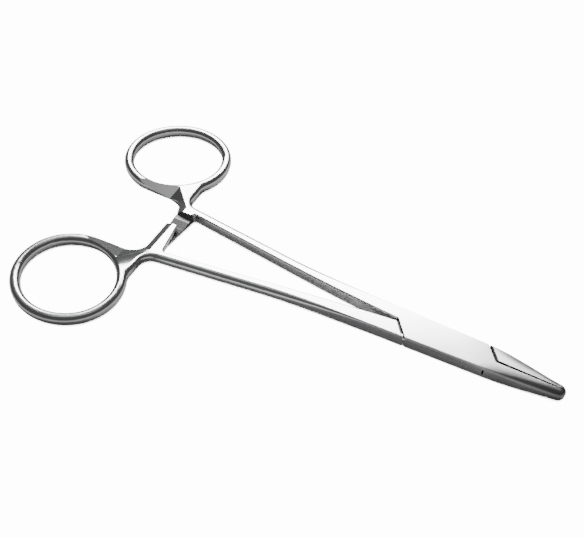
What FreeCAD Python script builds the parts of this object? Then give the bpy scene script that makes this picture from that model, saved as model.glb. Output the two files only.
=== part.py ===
"""Surgical needle holder with a box lock, a three-tooth ratchet and serrated jaws, in millimetres.

The pin axis is Z through the origin, the jaws point along +X, and the underside of the lock is z = 0.
Both halves share one mirrored outline, so the lock, shanks and rings stay matched when a size changes.
"""
import FreeCAD, Part
import math
import os

V = FreeCAD.Vector

# Whole instrument
LOCK_THICKNESS = 3.8
JAW_LENGTH = 29.9          # pin axis to jaw tip
RING_CENTRE_X = -94.35     # pin axis to the centres of the finger rings
RING_CENTRE_Y = 26.0

# Finger rings: an oval bar of rounded section
RING_LONG = 14.55          # half axes of the oval that the bar's middle follows
RING_SHORT = 13.10
RING_TURN = 10.5           # degrees that the long axis leans outward
RING_BAR = 2.7
RING_HEIGHT = 3.2
ROUNDING = 1.2             # on the rings, the necks and the outer sides of the shanks

# Ratchet arms and necks, placed from the centres of the rings
ARM_OFFSET = 12.05         # from the ring's centre forward to the arm's rear face
NECK_WIDTH = 1.4           # from the arm's rear face to the front face of the neck
SHANK_OFFSET = 6.3         # from the arm's rear face to the foot of the shank's outer side
WEB_OFFSET = 15.5          # from the ring's centre down to the web at the arm's rear face
ARM_ROOT_WIDTH = 5.2
ARM_TIP_WIDTH = 3.5
UPPER_ARM_REACH = 1.9      # how far each arm goes past the middle of the instrument
LOWER_ARM_REACH = 6.4
ARM_RIDGE_OFFSET = 2.1     # from the arm's rear face to the ridge that its bevel starts from
ARM_BEVEL = 21.0           # degrees that the bevel falls from the ridge toward the rear
NECK_RIDGE_TURN = 45.0     # degrees between the ridge of the arm and the ridge across the neck
WEB_RIDGE_OFFSET = 0.3     # from the ring's hole to the ridge of the web
WEB_BEVEL = 19.0

# Shanks: distance of the outer and inner sides from the middle of the instrument
SHANK_OUTER_END = 10.15
SHANK_INNER_END = 7.85
SHANK_BEND_X = -29.7       # the straight sides run toward this place, then turn into the lock
SHANK_INNER_BEND = 1.7     # inner side at the bend
SHANK_LEVEL_X = -52.0      # the shanks are level behind this place and thicken before it
SHANK_EDGE = 0.4           # small rounding on the inner edges
FULL_ROUNDING_X = -47.0    # behind this place the outer edges have their full rounding
NECK_RADIUS = 3.0          # where the outer side runs into the neck
NECK_RING_RADIUS = 4.0     # where the neck runs into the ring
NECK_ARM_RADIUS = 4.0      # where the web runs into the ratchet arm
ARM_ROOT_RADIUS = 0.7

# Box lock: two plates of one half hold the thinned waist of the other half
LOCK_HALF_WIDTH = 3.85     # at the pin axis
LOCK_TAPER = 0.025         # half width lost per millimetre toward the jaws
CROTCH_X = 12.6            # from the pin axis to where the two halves part
CROTCH_Y = 0.3
SHOULDER_ANGLE = 53.0      # degrees between the shoulder lines and the X axis
SLOT_END_ANGLE = 60.0
WAIST_THICKNESS = 1.5
WAIST_CLEARANCE = 0.05     # between the waist and each plate
SHOULDER_GAP = 0.4         # at the shoulders and the slot's ends
LOCK_EDGE = 0.2
LOCK_FLAT = 7.5            # the faces are level as far as this from the pin axis
PIN_RADIUS = 1.5
PIN_CLEARANCE = 0.03

# Jaws: half-round outside, cross-serrated inside
JAW_START_X = 11.3         # from here the side of the lock narrows into the jaw
JAW_TIP_RADIUS = 1.75
JAW_TIP_HEIGHT = 2.9
JAW_ROUND_START_X = 10.0   # the outer edges grow rounder from here to the tip
JAW_ROUNDING = 1.55        # on the upper outer edge at the tip
JAW_UNDER_ROUNDING = 0.45  # on the lower outer edge at the tip
JAW_GAP_ROOT = 0.28        # between the jaws at the lock, closing toward the tip
JAW_GAP_TIP = 0.05
JAW_TOUCH_X = 24.5         # the jaws meet from here to the tip
SERRATION_PITCH = 0.8
SERRATION_DEPTH = 0.14

# Ratchet: the arm of one half passes under the arm of the other, tooth to tooth
TOOTH_PITCH = 3.0
TOOTH_HEIGHT = 0.75
TOOTH_START = 5.4          # from the middle of the instrument to the first tooth
LOWER_TEETH = 4
UPPER_TEETH = 3
ARM_CLEARANCE = 0.12       # between the two arms
ARM_END_CLEARANCE = 0.35   # past the end of the lower arm

ARM_BACK_X = RING_CENTRE_X + ARM_OFFSET
ARM_FRONT_X = ARM_BACK_X + ARM_ROOT_WIDTH
NECK_FRONT_X = ARM_BACK_X + NECK_WIDTH
SHANK_END_X = ARM_BACK_X + SHANK_OFFSET
WEB_Y = RING_CENTRE_Y - WEB_OFFSET
MID_Z = LOCK_THICKNESS / 2.0
TALL = 3.0 * LOCK_THICKNESS
GAP = SHOULDER_GAP / 2.0


def prism(edges, z0, z1):
    """A solid between two heights from a closed outline of edges or of corner points."""
    if isinstance(edges[0], FreeCAD.Vector):
        wire = Part.makePolygon(edges + [edges[0]])
    else:
        wire = Part.Wire(edges)
    face = Part.Face(wire)
    face.translate(V(0, 0, z0))
    return face.extrude(V(0, 0, z1 - z0))


def curve(start, start_way, end, end_way):
    """A smooth edge between two points that leaves and arrives along given directions."""
    third = start.distanceToPoint(end) / 3.0
    line = Part.BezierCurve()
    line.setPoles([start, start + start_way.normalize() * third, end - end_way.normalize() * third, end])
    return line.toShape()


def bent_side(start, meet, end):
    """A straight edge from start toward meet, and an arc that turns it tangentially toward end."""
    back = start.sub(meet).normalize()
    half = (back + end.sub(meet).normalize()) / 2.0
    reach = meet.distanceToPoint(end)
    turn = meet + back * reach
    depth = reach * half.Length / (1.0 + math.sqrt(1.0 - half.Length ** 2))
    middle = meet + half.normalize() * depth
    return [Part.makeLine(start, turn), Part.Arc(turn, middle, end).toShape()]


def lock_side(x):
    """Half width of the lock at a distance along the instrument."""
    return LOCK_HALF_WIDTH - LOCK_TAPER * x


def end_line(crotch_y, angle, offset, y):
    """The rear end line of the lock at a height y, offset away from the pin."""
    lean = math.radians(angle)
    return V(-CROTCH_X - offset / math.sin(lean) + (crotch_y - y) / math.tan(lean), y, 0)


def end_corner(crotch_y, angle, offset):
    """Where the rear end line meets the side of the lock on -Y."""
    lean = math.tan(math.radians(angle))
    start = end_line(crotch_y, angle, offset, 0)
    x = (start.x * lean + LOCK_HALF_WIDTH) / (lean + LOCK_TAPER)
    return V(x, -lock_side(x), 0)


def front(point):
    """The same place at the front end of the lock, half a turn about the pin."""
    return V(-point.x, -point.y, 0)


def front_corner(crotch_y, angle, offset):
    """Where the front end line meets the side of the lock on +Y."""
    lean = math.tan(math.radians(angle))
    start = front(end_line(crotch_y, angle, offset, 0))
    x = (start.x * lean - LOCK_HALF_WIDTH) / (lean - LOCK_TAPER)
    return V(x, lock_side(x), 0)


def grip_line(x):
    """Half the gap between the jaws at a distance along them."""
    share = min(1.0, (x - CROTCH_X) / (JAW_TOUCH_X - CROTCH_X))
    return (JAW_GAP_ROOT + (JAW_GAP_TIP - JAW_GAP_ROOT) * share) / 2.0


def jaw_outline(start, finish, line_y):
    """Edges of the -Y jaw from the front crotch along the grip, round the tip and back to the lock."""
    nose = V(JAW_LENGTH - JAW_TIP_RADIUS, line_y, 0)
    points = [start]
    x = CROTCH_X + SERRATION_PITCH
    while x < nose.x:
        points.append(V(x, line_y - grip_line(x), 0))
        half = x + SERRATION_PITCH / 2.0
        points.append(V(half, line_y - grip_line(half) - SERRATION_DEPTH, 0))
        x += SERRATION_PITCH
    points.append(V(x, line_y - grip_line(x), 0))
    tip = nose + V(math.sqrt(JAW_TIP_RADIUS ** 2 - grip_line(x) ** 2), -grip_line(x), 0)
    points.append(tip)
    lean = math.atan2(nose.y - JAW_TIP_RADIUS - finish.y, nose.x - finish.x)
    turn = (lean - math.pi / 2.0) / 2.0
    middle = nose + V(math.cos(turn), math.sin(turn), 0) * JAW_TIP_RADIUS
    side = nose + V(math.sin(lean), -math.cos(lean), 0) * JAW_TIP_RADIUS
    edges = [Part.makeLine(a, b) for a, b in zip(points, points[1:])]
    edges.append(Part.Arc(tip, middle, side).toShape())
    edges.append(curve(side, V(-math.cos(lean), -math.sin(lean), 0), finish, V(-1, -LOCK_TAPER, 0)))
    return edges


def oval_shift(a, b):
    """How far the centres of an oval's end arcs lie along its long axis."""
    return (a - b) / (2.0 - math.sqrt(2.0))


def on_ring(x, y):
    """A place given along and across the long axis of the finger ring on +Y."""
    turn = math.radians(RING_TURN)
    along = V(math.cos(turn), math.sin(turn), 0) * x
    across = V(-math.sin(turn), math.cos(turn), 0) * y
    return V(RING_CENTRE_X, RING_CENTRE_Y, 0) + along + across


def oval(bar):
    """An oval outline of four tangent arcs, offset by bar from the middle of the ring's bar."""
    shift = oval_shift(RING_LONG, RING_SHORT)
    end_radius = RING_LONG - shift + bar
    side_radius = RING_SHORT + shift + bar
    edges = []
    for k, side in enumerate((1, -1, -1, 1)):
        x, y, radius = (side * shift, 0, end_radius) if k % 2 == 0 else (0, side * shift, side_radius)
        angles = [math.radians(90.0 * k + step) for step in (-45.0, 0.0, 45.0)]
        places = [on_ring(x + radius * math.cos(t), y + radius * math.sin(t)) for t in angles]
        edges.append(Part.Arc(*places).toShape())
    return edges


def web_end():
    """Where the straight web touches the outside of the ring."""
    shift = oval_shift(RING_LONG, RING_SHORT)
    radius = RING_SHORT + shift + RING_BAR / 2.0
    root = V(ARM_BACK_X, WEB_Y, 0)
    to_centre = on_ring(0, shift).sub(root)
    turn = math.atan2(to_centre.y, to_centre.x) + math.asin(radius / to_centre.Length)
    length = math.sqrt(to_centre.Length ** 2 - radius ** 2)
    return root + V(math.cos(turn), math.sin(turn), 0) * length


def half_outline(crotch_y, angle, reach):
    """Outline of one half seen from above, its handle on +Y and its jaw on -Y, without the ring."""
    rear = end_line(crotch_y, angle, -GAP, crotch_y + GAP)
    rear_low = end_corner(crotch_y, angle, -GAP)
    front_high = front_corner(crotch_y, angle, -GAP)
    front_low = front(end_line(crotch_y, angle, -GAP, crotch_y + GAP))
    root = V(ARM_FRONT_X, SHANK_INNER_END, 0)
    inner = bent_side(root, V(SHANK_BEND_X, SHANK_INNER_BEND, 0), rear)
    outer_end = V(SHANK_END_X, SHANK_OUTER_END, 0)
    bend = V(SHANK_BEND_X, lock_side(SHANK_BEND_X), 0)
    lean = (SHANK_OUTER_END - bend.y) / (bend.x - SHANK_END_X)
    neck_foot = V(NECK_FRONT_X, SHANK_OUTER_END + lean * (SHANK_END_X - NECK_FRONT_X), 0)
    side_start = V(-CROTCH_X, lock_side(-CROTCH_X), 0)
    inside_ring = RING_CENTRE_Y - RING_SHORT / 3.0
    corners = [
        root,
        V(ARM_BACK_X + ARM_TIP_WIDTH, -reach, 0),
        V(ARM_BACK_X, -reach, 0),
        V(ARM_BACK_X, WEB_Y, 0),
        web_end(),
        V(RING_CENTRE_X, inside_ring, 0),
        V(NECK_FRONT_X, inside_ring, 0),
        neck_foot,
    ]
    finish = V(JAW_START_X, -lock_side(JAW_START_X), 0)
    edges = list(inner)
    edges += [Part.makeLine(a, b) for a, b in zip(corners, corners[1:])]
    edges += bent_side(neck_foot, bend, side_start)
    edges += [Part.makeLine(side_start, front_high), Part.makeLine(front_high, front_low)]
    edges += jaw_outline(front_low, finish, -crotch_y)
    edges += [Part.makeLine(finish, rear_low), Part.makeLine(rear_low, rear)]
    return Part.__sortEdges__(edges)


def upright_edges(shape, places):
    """The vertical edges nearest to given places in plan."""
    chosen = []
    upright = [e for e in shape.Edges if len(e.Vertexes) == 2
               and e.Vertexes[0].Point.sub(e.Vertexes[1].Point).cross(V(0, 0, 1)).Length < 1e-6]
    for x, y in places:
        chosen.append(min(upright, key=lambda e: math.hypot(e.Vertexes[0].X - x, e.Vertexes[0].Y - y)))
    return chosen


def side_block():
    """A wide block with the side view of the instrument: lower at the rings and toward the jaw tips."""
    ring = MID_Z - RING_HEIGHT / 2.0
    tip = MID_Z - JAW_TIP_HEIGHT / 2.0
    back = V(RING_CENTRE_X - 2.0 * RING_LONG, 0, ring)
    level = V(SHANK_LEVEL_X, 0, ring)
    rear = V(-LOCK_FLAT, 0, 0)
    ahead = V(LOCK_FLAT, 0, 0)
    nose = V(JAW_LENGTH + RING_BAR, 0, tip)
    low = [
        Part.makeLine(back, level),
        curve(level, V(1, 0, 0), rear, V(1, 0, 0)),
        Part.makeLine(rear, ahead),
        curve(ahead, V(1, 0, 0), nose, V(nose.x - ahead.x, 0, 1.5 * tip)),
    ]
    high = [e.mirror(V(0, 0, MID_Z), V(0, 0, 1)) for e in low]
    ends = [Part.makeLine(p, V(p.x, 0, LOCK_THICKNESS - p.z)) for p in (back, nose)]
    face = Part.Face(Part.Wire(Part.__sortEdges__(low + high + ends)))
    wide = 2.0 * (RING_CENTRE_Y + RING_LONG + RING_BAR)
    face.translate(V(0, -wide / 2.0, 0))
    return face.extrude(V(0, wide, 0))


def outline_rounding(point):
    """Rounding of the outer edges: small at the lock, growing along the jaw and along the shank."""
    if point.x > 0:
        nose = JAW_LENGTH - JAW_TIP_RADIUS
        share = max(0.0, (point.x - JAW_ROUND_START_X) / (nose - JAW_ROUND_START_X))
        full = JAW_ROUNDING if point.z > MID_Z else JAW_UNDER_ROUNDING
        return LOCK_EDGE + (full - LOCK_EDGE) * min(1.0, share)
    share = (point.x + CROTCH_X) / (FULL_ROUNDING_X + CROTCH_X)
    return LOCK_EDGE + (ROUNDING - LOCK_EDGE) * max(0.0, min(1.0, share))


def edges_to_round(shape, crotch_y, reach):
    """Numbers and radii of the upper and lower edges that are rounded on one half."""
    chosen = []
    grip_y = -crotch_y - JAW_GAP_ROOT - SERRATION_DEPTH
    for number, edge in enumerate(shape.Edges, 1):
        ends = [edge.valueAt(edge.FirstParameter), edge.valueAt(edge.LastParameter)]
        middle = edge.valueAt((edge.FirstParameter + edge.LastParameter) / 2.0)
        upright = edge.BoundBox.ZLength > LOCK_EDGE
        arm_end = all(abs(p.y + reach) < 1e-6 for p in ends)
        on_lock = -CROTCH_X < middle.x < JAW_START_X
        lock_side_edge = on_lock and all(abs(abs(p.y) - lock_side(p.x)) < 1e-3 for p in ends)
        in_grip = middle.x > JAW_START_X and all(p.y > grip_y for p in ends)
        share = (middle.x + CROTCH_X) / (ARM_FRONT_X + CROTCH_X)
        shank_middle = (LOCK_HALF_WIDTH * (1.0 - share) + (SHANK_INNER_END + SHANK_OUTER_END) * share) / 2.0
        inside = share > 0 and middle.x > ARM_BACK_X + LOCK_EDGE and middle.y < shank_middle
        if upright or arm_end or in_grip or on_lock and not lock_side_edge:
            continue
        if inside and not on_lock:
            chosen.append((number, SHANK_EDGE, SHANK_EDGE))
        else:
            chosen.append((number, outline_rounding(ends[0]), outline_rounding(ends[1])))
    return chosen


def rounded(shape, chosen):
    """A shape with its chosen edges rounded; chosen gives (edge number, first radius, last radius)."""
    document = FreeCAD.newDocument()
    base = document.addObject("Part::Feature", "Base")
    base.Shape = shape
    fillet = document.addObject("Part::Fillet", "Rounded")
    fillet.Base = base
    fillet.Edges = chosen
    document.recompute()
    result = fillet.Shape.copy()
    FreeCAD.closeDocument(document.Name)
    return result


def bevel_wedge(slope):
    """Space above a plane that falls toward -X from the Z axis, starting at the top of the ring."""
    wide = 4.0 * RING_LONG
    top = MID_Z + RING_HEIGHT / 2.0
    low = top - wide * math.tan(math.radians(slope))
    points = [V(0, -wide, top), V(-wide, -wide, low), V(-wide, -wide, TALL), V(0, -wide, TALL)]
    return Part.Face(Part.makePolygon(points + [points[0]])).extrude(V(0, 2.0 * wide, 0))


def rear_bevels():
    """Metal ground off above and below, where arm, neck and web slope away from their ridges."""
    arm_ridge = ARM_BACK_X + ARM_RIDGE_OFFSET
    shank_middle = (SHANK_INNER_END + SHANK_OUTER_END) / 2.0
    web_ridge = on_ring(0, RING_BAR / 2.0 - RING_SHORT - WEB_RIDGE_OFFSET)
    upper = bevel_wedge(WEB_BEVEL)
    upper.rotate(V(0, 0, 0), V(0, 0, 1), 90.0 + RING_TURN)
    upper.translate(web_ridge)
    for ridge_y, turn in ((0.0, 0.0), (shank_middle, NECK_RIDGE_TURN)):
        wedge = bevel_wedge(ARM_BEVEL)
        wedge.rotate(V(0, 0, 0), V(0, 0, 1), turn)
        wedge.translate(V(arm_ridge, ridge_y, 0))
        upper = upper.common(wedge)
    return upper.fuse(upper.mirror(V(0, 0, MID_Z), V(0, 0, 1)))


def plain_half(crotch_y, angle, reach):
    """One half before the lock and ratchet are cut: ring, neck, shank, lock and jaw in one prism."""
    bar = RING_BAR / 2.0
    body = prism(half_outline(crotch_y, angle, reach), -TALL, TALL)
    body = body.fuse(prism(oval(bar), -TALL, TALL)).removeSplitter()
    inside_ring = RING_CENTRE_Y - RING_SHORT + RING_BAR
    corners = [
        (NECK_RADIUS, NECK_FRONT_X, SHANK_OUTER_END),
        (NECK_RING_RADIUS, NECK_FRONT_X, inside_ring + RING_BAR),
        (NECK_ARM_RADIUS, ARM_BACK_X, WEB_Y),
        (ARM_ROOT_RADIUS, ARM_FRONT_X, SHANK_INNER_END),
    ]
    for radius, x, y in corners:
        body = body.makeFillet(radius, upright_edges(body, [(x, y)]))
    body = body.cut(prism(oval(-bar), -TALL, TALL))
    body = body.common(side_block())
    body = rounded(body, edges_to_round(body, crotch_y, reach))
    return body.cut(rear_bevels())


def lock_cutter(crotch_y, angle, z0, z1):
    """Space through the lock for the other half, between two slanted end faces."""
    far = 2.0 * LOCK_HALF_WIDTH
    rear = end_line(crotch_y, -angle, -GAP, far)
    crotch = end_line(crotch_y, -angle, -GAP, crotch_y)
    aside = V(-1.5 * CROTCH_X, -far, 0)
    points = [rear, crotch, aside, front(rear), front(crotch), front(aside)]
    return prism(points, z0, z1)


def tooth_cutter(first_y, count, z, up):
    """Notches that leave saw teeth across a ratchet arm; up is +1 for teeth that point up, -1 for down."""
    cutter = None
    for k in range(count):
        y = first_y - k * TOOTH_PITCH
        root = V(0, y - TOOTH_PITCH, z - up * TOOTH_HEIGHT)
        points = [V(0, y, z), root, V(0, root.y, z + up), V(0, y, z + up), V(0, y, z)]
        notch = Part.Face(Part.makePolygon(points)).extrude(V(2.0 * ARM_ROOT_WIDTH, 0, 0))
        notch.translate(V(ARM_BACK_X - ARM_ROOT_WIDTH / 2.0, 0, 0))
        cutter = notch if cutter is None else cutter.fuse(notch)
    return cutter


def arm_block(y1, z0, z1):
    """Space over or under a ratchet arm, from beyond its end to a height y1."""
    x0 = ARM_BACK_X - 0.3 * ARM_ROOT_WIDTH
    x1 = ARM_BACK_X + 1.2 * ARM_ROOT_WIDTH
    return Part.makeBox(x1 - x0, y1 + TALL, z1 - z0, V(x0, -TALL, z0))


def pin_hole(radius):
    return Part.makeCylinder(radius, 3.0 * TALL, V(0, 0, -TALL))


def make_box_half():
    """The half whose two plates form the box: handle on +Y, jaw on -Y, lower ratchet arm."""
    slot = WAIST_THICKNESS / 2.0 + WAIST_CLEARANCE
    arm_top = MID_Z - ARM_CLEARANCE / 2.0
    body = plain_half(CROTCH_Y, SHOULDER_ANGLE, LOWER_ARM_REACH)
    body = body.cut(lock_cutter(CROTCH_Y, SLOT_END_ANGLE, MID_Z - slot, MID_Z + slot))
    body = body.cut(arm_block(SHANK_INNER_END - ARM_ROOT_RADIUS, arm_top, TALL))
    body = body.cut(tooth_cutter(TOOTH_START, LOWER_TEETH, arm_top, 1))
    return body.cut(pin_hole(PIN_RADIUS))


def make_through_half():
    """The half whose thinned waist passes through the box: handle on -Y, jaw on +Y, upper ratchet arm."""
    waist = WAIST_THICKNESS / 2.0
    arm_bottom = MID_Z + ARM_CLEARANCE / 2.0
    root = LOWER_ARM_REACH + ARM_END_CLEARANCE
    body = plain_half(-CROTCH_Y, SLOT_END_ANGLE, UPPER_ARM_REACH)
    body = body.cut(lock_cutter(-CROTCH_Y, SHOULDER_ANGLE, -TALL, MID_Z - waist))
    body = body.cut(lock_cutter(-CROTCH_Y, SHOULDER_ANGLE, MID_Z + waist, TALL))
    body = body.cut(arm_block(root, -TALL, arm_bottom))
    body = body.cut(tooth_cutter(TOOTH_START, UPPER_TEETH, arm_bottom, -1))
    body = body.mirror(V(0, 0, 0), V(0, 1, 0))
    return body.cut(pin_hole(PIN_RADIUS + PIN_CLEARANCE))


def make_pin():
    """The riveted pin, ground flush with both faces of the lock."""
    return Part.makeCylinder(PIN_RADIUS, LOCK_THICKNESS)


os.makedirs("parts", exist_ok=True)
pieces = {
    "box_half": make_box_half(),
    "through_half": make_through_half(),
    "hinge_pin": make_pin(),
}
for name, shape in pieces.items():
    solid = shape.Solids[0] if len(shape.Solids) == 1 else shape
    print(name, "solids", len(shape.Solids), "valid", solid.isValid(), "volume", round(solid.Volume, 2))
    solid.exportStep(os.path.join("parts", name + ".step"))
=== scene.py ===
import math

import bpy
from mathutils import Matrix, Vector

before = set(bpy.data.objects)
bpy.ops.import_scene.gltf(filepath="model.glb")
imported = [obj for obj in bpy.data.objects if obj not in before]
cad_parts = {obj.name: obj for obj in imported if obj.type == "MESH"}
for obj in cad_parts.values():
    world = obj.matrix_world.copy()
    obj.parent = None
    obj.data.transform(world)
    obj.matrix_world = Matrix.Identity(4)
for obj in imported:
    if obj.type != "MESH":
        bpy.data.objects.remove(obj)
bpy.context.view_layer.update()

# Both halves and the pin: stainless steel, forged, ground flat on the faces and finished satin, with fine
# marks along the shanks. The ratchet teeth are left as milled. Shade is painted into the colour on the
# teeth, with a painted highlight on each crest, and in corners and gaps, on the gripping faces, along the
# lock's shoulders and on the thinned waist of the half that passes through the lock. Sizes are in metres.

SATIN_TINT = (0.80, 0.80, 0.805)
OCCLUSION_REACH = 0.0009

SHOULDER_ANGLE = math.radians(53.0)
SHOULDER_PLACE = 0.01033
SHOULDER_LINE = 0.00024
WAIST_REACH = 0.01013
LOCK_SIDE_Y = 0.0035

GRIP_LINE_Y = -0.0003
GRIP_START_X = 0.0127
GRIP_DARK_AT_LOCK = 0.00036
GRIP_DARK_AT_TIP = 0.0001

MATT_START_X = 0.002
JAW_START_X = 0.0095
JAW_FULL_X = 0.020
JAW_TIP_X = 0.0299
JAW_ROOT_HALF_WIDTH = 0.0036
JAW_TIP_HALF_WIDTH = 0.00175
JAW_CROWN = 0.0005

RATCHET_X = -0.0765
RATCHET_Y = 0.0071
UNDER_ARM_Z = 0.0009
OVER_TEETH_Z = 0.0021
FIRST_TOOTH_Y = 0.0054
TOOTH_PITCH = 0.003
CREST_WIDTH = 0.0002

RING_START_Y = 0.0100
RING_FULL_Y = 0.0110
NECK_RIDGE = -0.0714
NECK_CROWN_REACH = 0.0070
NECK_CROWN = 0.0010
NECK_INNER_Y = (0.0085, 0.0115)
NECK_OUTER_Y = (0.0165, 0.0210)


def satin_steel(name, waist, handle, neck):
    """Steel for one piece. waist is how far the painted shade on its waist reaches from the pin, handle is 1
    where its ring is on +Y and -1 where it is on -Y, and neck is 1 where the neck is crowned and 0 where it
    is flat."""
    material = bpy.data.materials.new(name)
    material.use_nodes = True
    nodes = material.node_tree.nodes
    links = material.node_tree.links
    shader = nodes["Principled BSDF"]
    shader.inputs["Metallic"].default_value = 1.0
    shader.inputs["Anisotropic"].default_value = 0.2
    place = nodes.new("ShaderNodeTexCoord")

    def number(operation, first, second=0.0, third=0.0):
        step = nodes.new("ShaderNodeMath")
        step.operation = operation
        for slot, value in zip(step.inputs, (first, second, third)):
            if isinstance(value, float):
                slot.default_value = value
            else:
                links.new(value, slot)
        return step.outputs["Value"]

    def product(first, *others):
        for other in others:
            first = number("MULTIPLY", first, other)
        return first

    def between(value, low, high, start, end):
        ramp = nodes.new("ShaderNodeMapRange")
        for label, setting in (("From Min", low), ("From Max", high), ("To Min", start), ("To Max", end)):
            ramp.inputs[label].default_value = setting
        links.new(value, ramp.inputs["Value"])
        return ramp.outputs["Result"]

    def noise(scale, stretch):
        along = nodes.new("ShaderNodeMapping")
        along.inputs["Scale"].default_value = stretch
        links.new(place.outputs["Object"], along.inputs["Vector"])
        pattern = nodes.new("ShaderNodeTexNoise")
        pattern.inputs["Scale"].default_value = scale
        pattern.inputs["Detail"].default_value = 5.0
        links.new(along.outputs["Vector"], pattern.inputs["Vector"])
        return pattern.outputs["Fac"]

    def raised(height, distance, strength, below=None):
        bump = nodes.new("ShaderNodeBump")
        bump.inputs["Distance"].default_value = distance
        links.new(height, bump.inputs["Height"])
        if isinstance(strength, float):
            bump.inputs["Strength"].default_value = strength
        else:
            links.new(strength, bump.inputs["Strength"])
        if below is not None:
            links.new(below, bump.inputs["Normal"])
        return bump.outputs["Normal"]

    at = nodes.new("ShaderNodeSeparateXYZ")
    links.new(place.outputs["Object"], at.inputs["Vector"])
    x, y, z = at.outputs["X"], at.outputs["Y"], at.outputs["Z"]
    aside = number("ABSOLUTE", y)
    facing = nodes.new("ShaderNodeSeparateXYZ")
    links.new(place.outputs["Normal"], facing.inputs["Vector"])
    upright = number("ABSOLUTE", facing.outputs["Z"])
    level = between(upright, 0.5, 0.9, 0.0, 1.0)

    # Polish: fine marks along X, and faint clouds.
    marks = noise(1500.0, (0.1, 1.0, 1.0))
    colour = nodes.new("ShaderNodeValToRGB")
    colour.color_ramp.elements[0].position = 0.3
    colour.color_ramp.elements[0].color = [0.9 * channel for channel in SATIN_TINT] + [1.0]
    colour.color_ramp.elements[1].position = 0.7
    colour.color_ramp.elements[1].color = list(SATIN_TINT) + [1.0]
    links.new(noise(140.0, (1.0, 1.0, 1.0)), colour.inputs["Fac"])

    # Painted shade: between the gripping faces, on the waist and along the lock's shoulders.
    across = number("ABSOLUTE", number("SUBTRACT", y, GRIP_LINE_Y))
    grip_width = between(x, GRIP_START_X, JAW_TIP_X, GRIP_DARK_AT_LOCK, GRIP_DARK_AT_TIP)
    on_grip = product(number("GREATER_THAN", x, GRIP_START_X), number("LESS_THAN", across, grip_width))
    slanted = number("ADD", number("MULTIPLY", x, math.sin(SHOULDER_ANGLE)),
                     number("MULTIPLY", y, math.cos(SHOULDER_ANGLE)))
    from_pin = number("ABSOLUTE", slanted)
    inside_lock = number("LESS_THAN", aside, LOCK_SIDE_Y)
    on_waist = product(inside_lock, number("LESS_THAN", from_pin, waist))
    same_side = number("GREATER_THAN", number("MULTIPLY", y, slanted), 0.0)
    on_shoulder = product(same_side, number("COMPARE", from_pin, SHOULDER_PLACE, SHOULDER_LINE), inside_lock)
    gap_shade_mask = number("MAXIMUM", on_grip, number("MAXIMUM", on_waist, on_shoulder))
    painted_gap_shade = between(gap_shade_mask, 0.0, 1.0, 1.0, 0.03)

    # Ratchet: milled faces between the arms, painted darker for shade and with a painted highlight at the
    # crest of each tooth.
    between_arms = product(number("GREATER_THAN", z, UNDER_ARM_Z), number("LESS_THAN", z, OVER_TEETH_Z))
    milled = product(number("LESS_THAN", x, RATCHET_X), number("LESS_THAN", aside, RATCHET_Y), between_arms)
    along_arm = number("SUBTRACT", FIRST_TOOTH_Y, number("MULTIPLY", y, handle))
    crest = between(number("PINGPONG", along_arm, TOOTH_PITCH / 2.0), 0.0, CREST_WIDTH, 0.7, 0.25)
    milled_shade = number("ADD", product(milled, crest), number("SUBTRACT", 1.0, milled))
    # Painted shade: the colour darkens in corners, creases, gaps and at the foot of walls, where ambient
    # occlusion finds steel close by; on the milled faces it is kept lighter.
    occlusion_probe = nodes.new("ShaderNodeAmbientOcclusion")
    occlusion_probe.samples = 8
    occlusion_probe.inputs["Distance"].default_value = OCCLUSION_REACH
    cavity_darkening = between(occlusion_probe.outputs["AO"], 0.15, 0.6, 0.02, 1.0)
    shade_in_cavities = number("MAXIMUM", cavity_darkening, number("MULTIPLY", milled, 0.7))

    # Jaws: painted shade toward the tip, along the outer edges and on the rounding under them.
    on_jaw = between(x, JAW_START_X, JAW_FULL_X, 0.0, 1.0)
    half_width = between(x, JAW_START_X, JAW_TIP_X, JAW_ROOT_HALF_WIDTH, JAW_TIP_HALF_WIDTH)
    outward = product(number("POWER", number("DIVIDE", across, half_width), 3.0), on_jaw)
    rounding = product(number("MULTIPLY", upright, 4.0), number("SUBTRACT", 1.0, upright), on_jaw)
    jaw_shade = product(between(rounding, 0.0, 1.0, 1.0, 0.5), between(x, JAW_FULL_X, JAW_TIP_X, 1.0, 0.5),
                        between(outward, 0.05, 0.5, 1.0, 0.75))

    # Rings and webs: painted shade where the metal slopes.
    on_ring = between(aside, RING_START_Y, RING_FULL_Y, 0.0, 1.0)
    ring_shade = between(product(on_ring, between(upright, 0.95, 0.99, 1.0, 0.0)), 0.0, 1.0, 1.0, 0.66)

    # The painted shades and crest highlights above multiply the satin colour.
    shaded_colour = nodes.new("ShaderNodeMix")
    shaded_colour.data_type = "RGBA"
    shaded_colour.blend_type = "MULTIPLY"
    shaded_colour.inputs[0].default_value = 1.0
    links.new(colour.outputs["Color"], shaded_colour.inputs[6])
    links.new(product(shade_in_cavities, painted_gap_shade, jaw_shade, ring_shade, milled_shade), shaded_colour.inputs[7])
    links.new(shaded_colour.outputs[2], shader.inputs["Base Color"])

    satin = between(marks, 0.0, 1.0, 0.14, 0.22)
    jaw_matt = between(x, MATT_START_X, JAW_START_X, 0.0, 0.16)
    matt = number("ADD", jaw_matt, number("MULTIPLY", milled, 0.3))
    links.new(number("ADD", satin, matt), shader.inputs["Roughness"])

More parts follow.
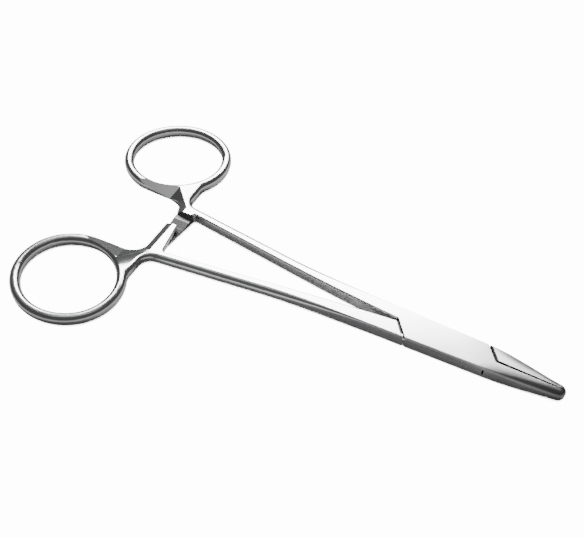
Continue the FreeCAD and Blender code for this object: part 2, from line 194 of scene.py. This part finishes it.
    # Crowns of the jaws, and of the neck in front of the ridge where its bevel starts, then the marks.
    crowned = raised(outward, -JAW_CROWN, level)
    from_ridge = between(number("ADD", x, aside), NECK_RIDGE, NECK_RIDGE + NECK_CROWN_REACH, 0.0, 1.0)
    near_neck = product(between(aside, *NECK_INNER_Y, 0.0, neck), between(aside, *NECK_OUTER_Y, 1.0, 0.0))
    rise = product(from_ridge, number("SUBTRACT", 2.0, from_ridge))
    crowned = raised(rise, NECK_CROWN, product(level, near_neck), crowned)
    links.new(raised(marks, 0.0002, 0.007, crowned), shader.inputs["Normal"])
    return material


plain_steel = satin_steel("satin steel", 0.0, 1.0, 0.0)
waisted_steel = satin_steel("satin steel with painted shade on the waist", WAIST_REACH, -1.0, 1.0)
for name, steel in (("box_half", plain_steel), ("through_half", waisted_steel), ("hinge_pin", plain_steel)):
    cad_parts[name].data.materials.clear()
    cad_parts[name].data.materials.append(steel)

# Table: a plain white sheet, lit evenly from behind like a light box, with a painted contact shadow under
# the steel and in a thin band round its foot.
# It lies a hair below the steel, so that the two don't share a plane.
WHITE = 14.0
TABLE_SIZE = 6.0
TABLE_Z = -0.00005
SHADE_REACH = 0.0007

bpy.ops.object.select_all(action="DESELECT")
bpy.ops.mesh.primitive_plane_add(size=TABLE_SIZE, location=(-0.04, 0.0, TABLE_Z))
table = bpy.context.object
table.name = "table"
paper = bpy.data.materials.new("white paper")
paper.use_nodes = True
paper_nodes = paper.node_tree.nodes
paper_links = paper.node_tree.links
paper_nodes["Principled BSDF"].inputs["Base Color"].default_value = (0.8, 0.8, 0.8, 1.0)
paper_nodes["Principled BSDF"].inputs["Roughness"].default_value = 1.0
paper_nodes["Principled BSDF"].inputs["Specular IOR Level"].default_value = 0.0
lit = paper_nodes.new("ShaderNodeEmission")
# Painted contact shadow: the glow is taken away where ambient occlusion finds the steel close by.
contact_shadow = paper_nodes.new("ShaderNodeAmbientOcclusion")
contact_shadow.samples = 8
contact_shadow.inputs["Distance"].default_value = SHADE_REACH
clear = paper_nodes.new("ShaderNodeMapRange")
clear.inputs["From Min"].default_value = 0.45
clear.inputs["From Max"].default_value = 0.7
paper_links.new(contact_shadow.outputs["AO"], clear.inputs["Value"])
paper_links.new(clear.outputs["Result"], lit.inputs["Color"])
lit.inputs["Strength"].default_value = WHITE
sight = paper_nodes.new("ShaderNodeLightPath")
sheet = paper_nodes.new("ShaderNodeMixShader")
paper_links.new(sight.outputs["Is Camera Ray"], sheet.inputs["Fac"])
paper_links.new(paper_nodes["Principled BSDF"].outputs["BSDF"], sheet.inputs[1])
paper_links.new(lit.outputs["Emission"], sheet.inputs[2])
paper_links.new(sheet.outputs["Shader"], paper_nodes["Material Output"].inputs["Surface"])
table.data.materials.append(paper)

# Studio: a dim room with a white backdrop, one wide soft light high behind the instrument, which its
# level faces mirror, and a weak one straight above for the faces that slope toward the camera.
ROOM_LIGHT = 0.12
MIDDLE = Vector((-0.045, 0.0, 0.0))

world = bpy.data.worlds.new("studio")
world.use_nodes = True
room_nodes = world.node_tree.nodes
room_nodes["Background"].inputs["Color"].default_value = (0.96, 0.98, 1.0, 1.0)
backdrop = room_nodes.new("ShaderNodeLightPath")
brightness = room_nodes.new("ShaderNodeMath")
brightness.operation = "MULTIPLY_ADD"
brightness.inputs[1].default_value = WHITE
brightness.inputs[2].default_value = ROOM_LIGHT
world.node_tree.links.new(backdrop.outputs["Is Camera Ray"], brightness.inputs[0])
world.node_tree.links.new(brightness.outputs["Value"], room_nodes["Background"].inputs["Strength"])
bpy.context.scene.world = world


def soft_light(offset, width, depth, energy):
    bpy.ops.object.light_add(type="AREA", location=MIDDLE + Vector(offset))
    light = bpy.context.object
    light.data.shape = "RECTANGLE"
    light.data.size = width
    light.data.size_y = depth
    light.data.energy = energy
    return light


back_light = soft_light((-0.225, 0.465, 0.49), 0.50, 0.28, 7.0)
back_light.rotation_euler = (MIDDLE - back_light.location).to_track_quat("-Z", "Y").to_euler()
soft_light((-0.10, 0.0, 0.75), 0.6, 0.3, 0.35)

# Camera: where the photograph was taken from, 28 degrees round from the near side and 49 degrees up,
# with the lens and distance that the outline of the rings and shanks gave.
AZIMUTH = math.radians(28.0)
ELEVATION = math.radians(49.0)
LOOKS_AT = Vector((-0.04513, 0.00538, 0.0))
DISTANCE = 0.2205

toward_camera = Vector((
    math.sin(AZIMUTH) * math.cos(ELEVATION),
    -math.cos(AZIMUTH) * math.cos(ELEVATION),
    math.sin(ELEVATION),
))
bpy.ops.object.camera_add(location=LOOKS_AT + DISTANCE * toward_camera)
camera = bpy.context.object
camera.rotation_euler = toward_camera.to_track_quat("Z", "Y").to_euler()
camera.data.lens = 51.15
camera.data.sensor_width = 36.0
camera.data.clip_start = 0.01
bpy.context.scene.camera = camera
